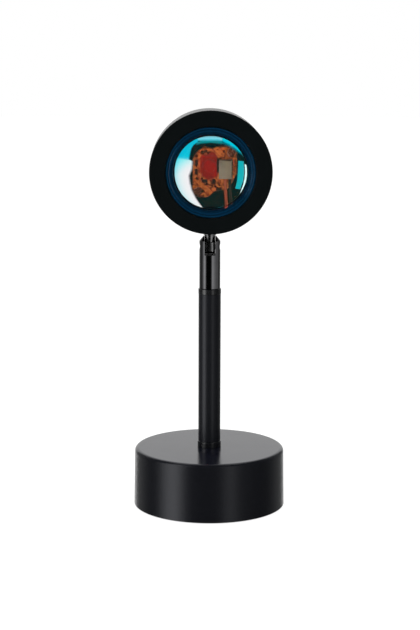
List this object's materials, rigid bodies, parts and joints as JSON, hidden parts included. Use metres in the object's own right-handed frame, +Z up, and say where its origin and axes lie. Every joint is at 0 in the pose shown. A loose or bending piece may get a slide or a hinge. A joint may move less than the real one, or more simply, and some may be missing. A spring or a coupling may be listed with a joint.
{
  "type": "sunset projection lamp",
  "caption": "Table projector lamp: drum base, slim stem, knuckle joint and a round tilting head with a domed, coated glass lens that throws a disc of warm light.",
  "frame": {"origin": "centre of the foot pad's underside, on the surface the lamp stands on, on the stem's axis", "axes": "+Z up along the stem; at rest the lens looks along -Y; +X to the right as seen from in front with the lens facing the viewer"},
  "size_m": [0.0986, 0.1, 0.2584],
  "materials": {
    "powder_coat": "fine sand-textured black powder coat",
    "gloss_black": "gloss black enamel",
    "black_chrome": "dark polished gunmetal plating",
    "black_anodised": "satin black anodised aluminium",
    "coated_glass": "clear glass with a cyan-reflecting, orange-passing coating",
    "black_plastic": "matt black moulded plastic",
    "black_rubber": "matt black rubber",
    "grey_silicone": "soft grey silicone",
    "cast_iron": "rough cast, oiled",
    "zinc_steel": "bright zinc-plated steel",
    "black_steel": "black oxide steel",
    "board_aluminium": "white solder mask over an aluminium core",
    "white_ceramic": "white ceramic",
    "dark_ceramic": "black glazed ceramic chip",
    "ivory_plastic": "moulded nylon",
    "phosphor": "yellow phosphor in silicone",
    "red_and_black_sheath": "red and black lead insulation"
  },
  "bodies": {
    "stand": {"base_shell": "powder_coat", "counterweight": "cast_iron", "bottom_plate": "black_steel", "plate_screws": "zinc_steel", "foot_pad": "black_rubber", "cable_grommet": "black_rubber", "cable_clamp": "black_plastic", "clamp_screws": "zinc_steel", "inner_cable": "black_plastic", "threaded_rod": "zinc_steel", "base_nut": "zinc_steel", "lock_washer": "zinc_steel", "base_washer": "zinc_steel", "lower_collar": "gloss_black", "stem_tube": "powder_coat", "upper_collar": "gloss_black", "joint_fork": "black_chrome", "pivot_screws": "black_steel"},
    "head": {"joint_tongue": "black_chrome", "neck_washer": "zinc_steel", "neck_nut": "zinc_steel", "head_barrel": "black_anodised", "front_bezel": "black_anodised", "lens": "coated_glass", "lens_gasket": "grey_silicone", "light_tube": "black_plastic", "heat_sink": "black_anodised", "sink_screws": "zinc_steel", "thermal_pad": "grey_silicone", "led_board": "board_aluminium", "led_emitter": "white_ceramic", "phosphor_disc": "phosphor", "board_chips": "dark_ceramic", "lead_terminal": "ivory_plastic", "board_screws": "zinc_steel", "led_leads": "red_and_black_sheath"}
  },
  "joints": [
    {"name": "head_tilt", "type": "hinge", "parent": "stand", "child": "head", "pos_m": [0, 0, 0.1703], "axis": [1, 0, 0], "range_deg": [-90, 90]}
  ]
}
